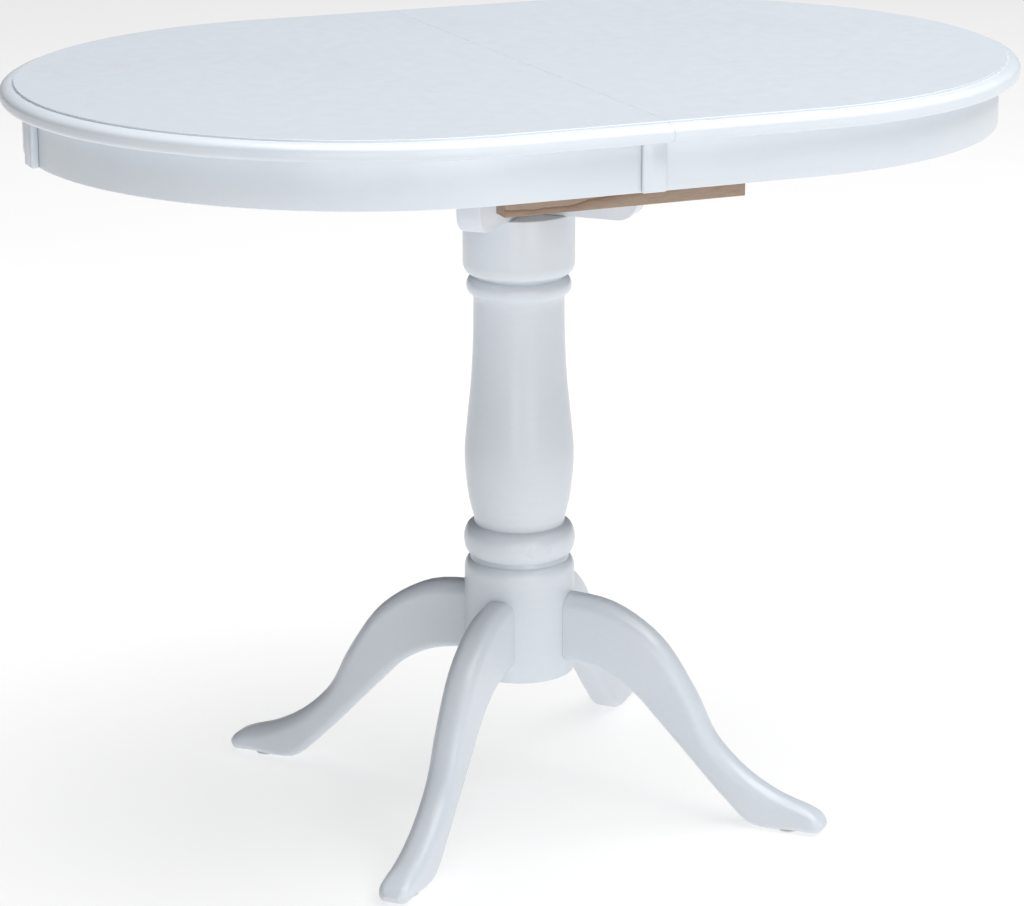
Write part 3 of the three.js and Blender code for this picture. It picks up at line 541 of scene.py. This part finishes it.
def makeTopHalves():
    slab = roundedPlate("top_left_fine", 0, top["lower"] + top["lowerRound"])
    thick = top["upper"] - top["lower"]
    bodyHigh = thick - top["stepUp"] - top["noseHigh"] - top["lowerRound"]
    bpy.ops.mesh.extrude_region_move(TRANSFORM_OT_translate={"value": (0, 0, bodyHigh)})
    bpy.ops.mesh.select_all(action="SELECT")
    bpy.ops.mesh.normals_make_consistent(inside=False)
    lip, rim = top["lipEase"], top["rimEase"]
    nose = quarterSteps(top["noseWide"], top["noseHigh"], top["noseSteps"])
    stepUp = [(lip, -lip), (top["stepIn"] - lip, lip), (top["rimLean"], top["stepUp"] - rim), (rim, rim)]
    lower = quarterSteps(top["lowerRound"], top["lowerRound"], top["lowerSteps"])
    mould(slab, lambda centre, normal: normal.z > 0.9, nose + stepUp)
    mould(slab, lambda centre, normal: normal.z < -0.9, lower)
    closeEdit()
    other = copyPiece(slab, "top_right_fine")
    middle = (top["upper"] + top["lower"]) / 2
    outer = top["dowelPlace"]
    for piece, side, label in ((slab, -1, "top_left"), (other, 1, "top_right")):
        seam = side * top["seamGap"]
        cutHalf(piece, side)
        editAll(piece)
        pickEdges(piece, lambda a, b: max(abs(a.x - seam), abs(b.x - seam)) < 0.00001)
        bpy.ops.mesh.bevel(offset=top["seamEase"], segments=2, affect="EDGES")
        closeEdit()
        reach = top["dowelSeat"] if side < 0 else top["dowelReach"]
        bores = []
        for y in (-outer, 0, outer):
            start, end = (-side * 0.01, y, middle), (side * reach, y, middle)
            bores.append(rodBetween(start, end, top["dowelRadius"]))
        carve(piece, bores)
        smooth(piece, 20)
        standFor(piece, label, topLacquer)


makeTopHalves()
print("top halves made")


apronLow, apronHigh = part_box("apron_right_far")
apron = {
    "inset": top["width"] / 2 - apronHigh[1],
    "thick": 0.018,
    "lower": apronLow[2],
    "upper": apronHigh[2],
    "ease": 0.0012,
    "endGap": 0.00015,
}


def makeAprons():
    ring = roundedPlate("apron_fine", apron["inset"], apron["lower"])
    bpy.ops.mesh.inset(thickness=apron["thick"], depth=0, use_even_offset=True, use_boundary=True)
    bpy.ops.mesh.delete(type="FACE")
    bpy.ops.mesh.select_all(action="SELECT")
    high = apron["upper"] - apron["lower"]
    bpy.ops.mesh.extrude_region_move(TRANSFORM_OT_translate={"value": (0, 0, high)})
    closeEdit()
    for side, half in ((-1, "left"), (1, "right")):
        for face, place in ((-1, "near"), (1, "far")):
            piece = copyPiece(ring, "apron_" + half + "_" + place + "_fine")
            cutHalf(piece, side)
            editAll(piece)
            bpy.ops.mesh.bisect(plane_co=(0, face * apron["endGap"], 0), plane_no=(0, -face, 0),
                                use_fill=True, clear_outer=True)
            closeEdit()
            ease(piece, apron["ease"])
            smooth(piece, 30)
            standFor(piece, "apron_" + half + "_" + place, apronLacquer)
    bpy.data.objects.remove(ring)


makeAprons()
print("aprons made")


columnLow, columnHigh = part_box("column")
bearerBoltLow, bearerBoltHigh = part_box("bearer_bolt")
legBoltLow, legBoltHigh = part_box("leg_bolt_far_right")
column = {
    "foot": columnLow[2],
    "upper": columnHigh[2],
    "radius": 0.055,
    "footEase": 0.0025,
    "topEase": 0.0015,
    "recessRadius": 0.036,
    "recessOverBolt": 0.035,
    "recessEase": 0.001,
    "boreRadius": 0.005 + boreGap,
    "boreBottom": bearerBoltLow[2] - boreGap,
    "boltHeight": (legBoltLow[2] + legBoltHigh[2]) / 2,
    "boltRadius": 0.004 + boreGap,
    "segments": 144,
    # each moulding: how far its middle lies inside the radius, its height, its half width, its half rise,
    # its arc in quarter turns up from straight out, and its count of steps
    "shoulder": (0.006, 0.239, 0.006, 0.012, 0, 0.95, 8),
    "bead": (0.0075, 0.271, 0.008, 0.0155, -0.95, 0.93, 18),
    "ring": (0.009, 0.53, 0.0056, 0.0085, -0.93, 0.93, 12),
    "cap": (0.007, 0.554, 0.007, 0.012, -0.93, 0, 8),
    # how far inside the radius and how high: the hollows beside the mouldings, and the vase between them
    "cove": (0.0098, 0.2875),
    "collar": (0.009, 0.5395),
    "vase": [(0.0095, 0.293), (0.004, 0.317), (0.0007, 0.355), (0.003, 0.389), (0.0076, 0.435),
             (0.0098, 0.479), (0.0103, 0.517)],
    "vaseSteps": 6,
}


def arcRings(centreRadius, centreHeight, across, rise, start, end, count):
    # rings of (radius, height) along part of an ellipse, angles in quarter turns up from straight out
    rings = []
    for i in range(count + 1):
        angle = (start + (end - start) * i / count) * math.pi / 2
        radius = centreRadius + across * math.cos(angle)
        rings.append((radius, centreHeight + rise * math.sin(angle)))
    return rings


def smoothRings(points, steps):
    # even curve through (radius, height) points
    rings = []
    for i in range(len(points) - 1):
        before = Vector(points[max(i - 1, 0)])
        first, second = Vector(points[i]), Vector(points[i + 1])
        after = Vector(points[min(i + 2, len(points) - 1)])
        for k in range(steps):
            t = k / steps
            spot = 0.5 * (2 * first + (second - before) * t
                          + (2 * before - 5 * first + 4 * second - after) * t ** 2
                          + (3 * first - before - 3 * second + after) * t ** 3)
            rings.append((spot.x, spot.y))
    rings.append(tuple(points[-1]))
    return rings


def latheRings(name, rings, segments):
    # a disc drawn through rings of (radius, height), closed at both ends
    deselectAll()
    radius, height = rings[0]
    bpy.ops.mesh.primitive_circle_add(vertices=segments, radius=radius, fill_type="NGON",
                                      location=(0, 0, height))
    piece = nameActive(name)
    applyPlace(piece)
    editAll(piece)
    for nextRadius, nextHeight in rings[1:]:
        step = (0, 0, nextHeight - height)
        grow = nextRadius / radius
        bpy.ops.mesh.extrude_region_move(TRANSFORM_OT_translate={"value": step})
        bpy.ops.transform.resize(value=(grow, grow, 1), center_override=(0, 0, nextHeight))
        radius, height = nextRadius, nextHeight
    closeEdit()
    return piece


def mouldingRings(name):
    inset, *arc = column[name]
    return arcRings(column["radius"] - inset, *arc)


def inFrom(spot):
    return (column["radius"] - spot[0], spot[1])


def columnRings():
    # from the roof of the recess down and out, up the mouldings, and in and down the bolt's bore
    big, foot, upper = column["radius"], column["foot"], column["upper"]
    recess, recessEase = column["recessRadius"], column["recessEase"]
    footEase, topEase = column["footEase"], column["topEase"]
    recessTop = column["boltHeight"] + column["recessOverBolt"]
    return (
        [(recess, recessTop), (recess, foot + recessEase), (recess + recessEase, foot)]
        + [(big - footEase, foot)]
        + arcRings(big - footEase, foot + footEase, footEase, footEase, -0.8, 0, 4)
        + [(big, 0.18), (big, 0.22)]
        + mouldingRings("shoulder")
        + mouldingRings("bead")
        + [inFrom(column["cove"])]
        + smoothRings([inFrom(spot) for spot in column["vase"]], column["vaseSteps"])
        + mouldingRings("ring")
        + [inFrom(column["collar"])]
        + mouldingRings("cap")
        + [(big, 0.57), (big, upper - topEase)]
        + arcRings(big - topEase, upper - topEase, topEase, topEase, 0.3, 1, 3)
        + [(column["boreRadius"], upper), (column["boreRadius"], column["boreBottom"])]
    )


def makeColumn():
    piece = latheRings("column_fine", columnRings(), column["segments"])
    cutters = []
    for turn in legTurns.values():
        out = Vector((math.cos(turn), math.sin(turn), 0))
        lift = Vector((0, 0, column["boltHeight"]))
        cutters.append(rodBetween(out * 0.028 + lift, out * 0.07 + lift, column["boltRadius"], 24))
    carve(piece, cutters)
    smooth(piece, 40)
    standFor(piece, "column", columnLacquer)


makeColumn()
print("column turned")


leg = {
    "toe": 0.325,
    "root": 0.055,
    "upper": 0.219,
    "sole": 0.0023,
    "thick": 0.032,
    "upperRound": 0.013,
    "lowerRound": 0.009,
    "roundSteps": 6,
    "toeRound": 0.012,
    "curveSteps": 5,
    "upperKnee": [(-0.015, 0), (0.043, -0.006), (0.095, -0.037)],
    "upperFoot": [(-0.139, 0.132), (-0.116, 0.088), (-0.085, 0.057), (-0.053, 0.038), (-0.025, 0.028),
                  (-0.008, 0.02), (0, 0.011)],
    "lowerKnee": [(-0.015, -0.068), (0.033, -0.075), (0.069, -0.093)],
    "lowerFoot": [(-0.173, 0.099), (-0.141, 0.066), (-0.105, 0.029), (-0.072, 0.0023), (-0.028, 0.0023),
                  (-0.008, 0.0023), (-0.001, 0.0063)],
    "seatRadius": 0.0553,
    "boltReach": 0.1183,
    "glidePlace": 0.287,
    "glidePinRadius": 0.0018,
    "glidePinTop": 0.0143,
}


def legEdges():
    # knee places are from the column's face and the leg's top, foot places from the toe and the floor
    edges = []
    for knee, foot in (("upperKnee", "upperFoot"), ("lowerKnee", "lowerFoot")):
        points = [(leg["root"] + along, leg["upper"] + height) for along, height in leg[knee]]
        points += [(leg["toe"] + along, height) for along, height in leg[foot]]
        edges.append(smoothRings(points, leg["curveSteps"]))
    return edges


def legSection(upperSpot, lowerSpot):
    # rounded section of the leg between two matched places of its edges, softer above than below
    low, high = Vector(lowerSpot), Vector(upperSpot)
    tall = (high - low).length
    past = min(max(0.0, high.x - (leg["toe"] - leg["toeRound"])) / leg["toeRound"], 0.95)
    half = leg["thick"] / 2 - leg["toeRound"] * (1 - math.sqrt(1 - past ** 2))
    spots = []
    for across, rise, turns in ((1, 1, 0), (-1, 1, 1), (-1, -1, 2), (1, -1, 3)):
        width = leg["upperRound"] if rise > 0 else leg["lowerRound"]
        width = min(width, 0.45 * tall, 0.9 * half)
        for i in range(leg["roundSteps"] + 1):
            angle = (turns + i / leg["roundSteps"]) * math.pi / 2
            y = across * (half - width) + width * math.cos(angle)
            along = tall / 2 + rise * (tall / 2 - width) + width * math.sin(angle)
            spot = low.lerp(high, along / tall)
            spots.append(Vector((spot.x, y, max(spot.y, leg["sole"]))))
    return spots


def placeRing(piece, former, spots):
    # moves each selected point from its spot in the former ring to its spot in the new one
    mesh = bmesh.from_edit_mesh(piece.data)
    for point in [point for point in mesh.verts if point.select]:
        nearest = min(range(len(former)), key=lambda k: (former[k] - point.co).length_squared)
        point.co = spots[nearest]
    bmesh.update_edit_mesh(piece.data)


def makeLegs():
    sections = [legSection(a, b) for a, b in zip(*legEdges())]
    count = len(sections[0])
    deselectAll()
    bpy.ops.mesh.primitive_circle_add(vertices=count, radius=leg["thick"], fill_type="NGON")
    piece = nameActive("leg_fine")
    former = [point.co.copy() for point in piece.data.vertices]
    editAll(piece)
    for spots in sections:
        if spots is not sections[0]:
            bpy.ops.mesh.extrude_region_move()
        placeRing(piece, former, spots)
        former = spots
    closeEdit()
    boltHeight, glidePlace = column["boltHeight"], leg["glidePlace"]
    seat = rodBetween((0, 0, 0), (0, 0, 0.4), leg["seatRadius"], 192)
    bolt = rodBetween((0.03, 0, boltHeight), (leg["boltReach"], 0, boltHeight), column["boltRadius"], 24)
    pin = rodBetween((glidePlace, 0, -0.01), (glidePlace, 0, leg["glidePinTop"]),
                     leg["glidePinRadius"], 20)
    carve(piece, [seat, bolt, pin])
    smooth(piece, 40)
    for place, turn in legTurns.items():
        made = copyPiece(piece, "leg_" + place + "_fine")
        turnPiece(made, turn)
        standFor(made, "leg_" + place, legLacquers[place])
    bpy.data.objects.remove(piece)


makeLegs()
print("legs made")


def easedCopy(nodeName, width, material, segments=2, angle=35):
    # a piece whose CAD shape is right: its edges are eased and its round faces smoothed
    deselectAll()
    source = frame["nodes"][nodeName]
    piece = bpy.data.objects.new(nodeName + "_fine", source.data.copy())
    bpy.context.scene.collection.objects.link(piece)
    editAll(piece)
    bpy.ops.mesh.remove_doubles(threshold=0.000005)
    bpy.ops.mesh.dissolve_limited(angle_limit=math.radians(1))
    closeEdit()
    if width:
        ease(piece, width, segments, angle)
    smooth(piece, 35)
    standFor(piece, nodeName, material)
    return piece


easedPieces = {
    "end_block_left": (0.0012, apronLacquer),
    "end_block_right": (0.0012, apronLacquer),
    "seam_block_left": (0.0016, apronLacquer),
    "seam_block_right": (0.0016, apronLacquer),
    "bearer_bar_lower": (0.002, apronLacquer),
    "bearer_bar_upper": (0.002, apronLacquer),
    "mounting_board": (0.0008, boardWood),
    "board_cleat_near": (0.0008, cleatWood),
    "board_cleat_far": (0.0008, cleatWood),
    "slide_rail_near": (0.0006, slideWood),
    "slide_rail_far": (0.0006, slideWood),
    "runner_left_near": (0.0006, runnerWood),
    "runner_left_far": (0.0006, runnerWood),
    "runner_right_near": (0.0006, runnerWood),
    "runner_right_far": (0.0006, runnerWood),
    "leaf_lower": (0, topLacquer),
    "leaf_upper": (0, topLacquer),
    "seam_dowel_near": (0.0004, dowelWood),
    "seam_dowel_middle": (0.0004, dowelWood),
    "seam_dowel_far": (0.0004, dowelWood),
    "bearer_bolt": (0.0003, zincUprightThread),
}
for place in ("near", "far"):
    easedPieces["lock_plate_" + place] = (0.0003, brassPlate)
    easedPieces["lock_lever_" + place] = (0.0005, brassPlate)
    easedPieces["lock_striker_" + place] = (0.0003, brassPlate)
for half in ("left", "right"):
    easedPieces["leaf_hinge_lower_" + half] = (0.0001, brassPlate)
    easedPieces["leaf_hinge_upper_" + half] = (0.0001, brassPlate)
    easedPieces["leaf_hinge_pin_" + half] = (0.0001, zincPlate)
for place in legTurns:
    easedPieces["leg_bolt_" + place] = (0.0006, zincThread[place])
    easedPieces["leg_nut_" + place] = (0.0005, zincPlate)
    easedPieces["foot_glide_" + place] = (0.0002, glidePlastic)
    easedPieces["board_screw_" + place] = (0.0002, zincUprightThread)
for nodeName, (width, material) in easedPieces.items():
    easedCopy(nodeName, width, material)
print("small pieces eased:", len(easedPieces))


screwHead = {
    "radius": 0.0042,
    "high": 0.0026,
    "proud": 0.0002,
    "taper": 0.55,
    "slotLong": 0.0054,
    "slotWide": 0.0011,
    "slotDeep": 0.0014,
    "edge": 0.00012,
    "runnerShares": (0.12, 0.5, 0.88),
    "railPlaces": (-0.06, 0.06),
    "lockInset": 0.003,
    "lockPlateThick": 0.002,
    "lockSize": 0.6,
}


def makeScrewHead():
    # countersunk head with a cross slot that faces down, its face at the origin and its shank above
    deselectAll()
    high = screwHead["high"]
    bpy.ops.mesh.primitive_cylinder_add(vertices=28, radius=screwHead["radius"], depth=high,
                                        location=(0, 0, high / 2))
    piece = nameActive("screw_head")
    applyPlace(piece)
    editAll(piece)
    pickFaces(piece, lambda centre, normal: normal.z > 0.9)
    taper = screwHead["taper"]
    bpy.ops.transform.resize(value=(taper, taper, 1), center_override=(0, 0, high))
    closeEdit()
    long, wide = screwHead["slotLong"] / 2, screwHead["slotWide"] / 2
    low, deep = (-long, -wide, -high), (long, wide, screwHead["slotDeep"])
    slots = [boxBetween("slot", low, deep) for _ in range(2)]
    turnPiece(slots[1], math.pi / 2)
    carve(piece, slots)
    ease(piece, screwHead["edge"], 2)
    smooth(piece)
    return piece


def screwPlaces():
    # every screw seen from below: (name, node it holds, place of its face, size)
    places = []
    for side, half in ((-1, "left"), (1, "right")):
        for place in ("near", "far"):
            holder = "runner_" + half + "_" + place
            low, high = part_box(holder)
            outer = low[0] if side < 0 else high[0]
            for i, share in enumerate(screwHead["runnerShares"]):
                spot = (outer * share, (low[1] + high[1]) / 2, low[2])
                places.append(("runner_screw_%s_%s_%d" % (half, place, i + 1), holder, spot, 1.0))
    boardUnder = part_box("mounting_board")[0][2]
    plateUnder = apron["upper"] - screwHead["lockPlateThick"]
    inset = screwHead["lockInset"]
    for place in ("near", "far"):
        low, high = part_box("slide_rail_" + place)
        for i, x in enumerate(screwHead["railPlaces"]):
            spot = (x, (low[1] + high[1]) / 2, boardUnder)
            places.append(("rail_screw_%s_%d" % (place, i + 1), "mounting_board", spot, 1.0))
        for kind in ("lock_plate_", "lock_striker_"):
            low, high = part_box(kind + place)
            left, right = low[0] + inset, high[0] - inset
            front, back = low[1] + inset, high[1] - inset
            for i, (x, y) in enumerate(((left, front), (right, back), (left, back), (right, front))):
                name = "%sscrew_%s_%d" % (kind, place, i + 1)
                places.append((name, kind + place, (x, y, plateUnder), screwHead["lockSize"]))
    return places


def makeScrewHeads():
    pattern = makeScrewHead()
    places = screwPlaces()
    for name, holder, spot, size in places:
        piece = copyPiece(pattern, name)
        piece.location = Vector(spot) - Vector((0, 0, screwHead["proud"]))
        piece.scale = (size, size, size)
        applyPlace(piece)
        if holder.startswith("lock"):
            addDetail(piece, bodyOf[holder], brassPlate)
        else:
            addDetail(piece, bodyOf[holder], zincPlate)
    bpy.data.objects.remove(pattern)
    return len(places)


print("screw heads added:", makeScrewHeads())


view = {
    "distance": 3.315,
    "azimuth": -0.401705,
    "height": 1.321902,
    "down": 0.283238,
    "aside": -0.002167,
    "roll": -0.002701,
    "focal": 122.23,
    "sensor": 36,
}


def placeCamera():
    camera = bpy.data.objects.new("camera", bpy.data.cameras.new("camera"))
    bpy.context.scene.collection.objects.link(camera)
    heading = view["azimuth"] - view["aside"]
    level = Vector((-math.sin(heading), math.cos(heading), 0))
    forward = math.cos(view["down"]) * level - math.sin(view["down"]) * Vector((0, 0, 1))
    right = level.cross(Vector((0, 0, 1)))
    above = right.cross(forward)
    turnedRight = math.cos(view["roll"]) * right + math.sin(view["roll"]) * above
    turnedAbove = math.cos(view["roll"]) * above - math.sin(view["roll"]) * right
    turn = Matrix((turnedRight, turnedAbove, -forward)).transposed().to_4x4()
    spot = Vector((math.sin(view["azimuth"]), -math.cos(view["azimuth"]), 0)) * view["distance"]
    camera.matrix_world = Matrix.Translation(spot + Vector((0, 0, view["height"]))) @ turn
    camera.data.lens = view["focal"]
    camera.data.sensor_width = view["sensor"]
    bpy.context.scene.camera = camera


lights = {
    "keyLight": {"place": (0.2, -4.2, 1.0), "aim": (0, 0, 0.4), "size": 2.2, "power": 38},
    "fillLight": {"place": (-1.9, -3.2, 0.45), "aim": (-0.1, -0.1, 0.15), "size": 1.4, "power": 17},
    "overheadLight": {"place": (1.1, -0.6, 5.0), "aim": (0, 0, 0.4), "size": 6.0, "power": 440},
}


world = {
    "colour": (0.93, 0.96, 1.0),
    "strength": 0.06,
}


def placeLights():
    for name, values in lights.items():
        light = bpy.data.lights.new(name, "AREA")
        light.shape = "SQUARE"
        light.size = values["size"]
        light.energy = values["power"]
        lamp = bpy.data.objects.new(name, light)
        bpy.context.scene.collection.objects.link(lamp)
        lamp.location = values["place"]
        aim = Vector(values["aim"]) - Vector(values["place"])
        lamp.rotation_euler = aim.to_track_quat("-Z", "Y").to_euler()
    studio = bpy.data.worlds.new("studio")
    studio.use_nodes = True
    backdrop = studio.node_tree.nodes["Background"]
    backdrop.inputs["Color"].default_value = (*world["colour"], 1)
    backdrop.inputs["Strength"].default_value = world["strength"]
    bpy.context.scene.world = studio
    bpy.context.scene.view_settings.view_transform = "Standard"


floorLook = {
    "size": 80,
    "dark": (0.36, 0.36, 0.36),
    "light": (0.39, 0.39, 0.39),
    "roughness": 0.9,
    "glow": 0.66,
}


def placeFloor():
    # a faint glow keeps the floor near white, and the shadow under the table light
    deselectAll()
    bpy.ops.mesh.primitive_plane_add(size=floorLook["size"], location=(0, 0, 0))
    floor = nameActive("floor")
    material, tree, shader = startMaterial("floorPaint")
    cloud = noise(tree, objectSpace(tree), 0.8, 3.0)
    colour = ramp(tree, cloud, [(0.3, floorLook["dark"]), (0.7, floorLook["light"])])
    join(tree, colour, shader.inputs["Base Color"])
    shader.inputs["Roughness"].default_value = floorLook["roughness"]
    shader.inputs["Emission Color"].default_value = (1, 1, 1, 1)
    shader.inputs["Emission Strength"].default_value = floorLook["glow"]
    floor.data.materials.append(material)


placeCamera()
placeLights()
placeFloor()
print("camera, light and floor placed")

deselectAll()
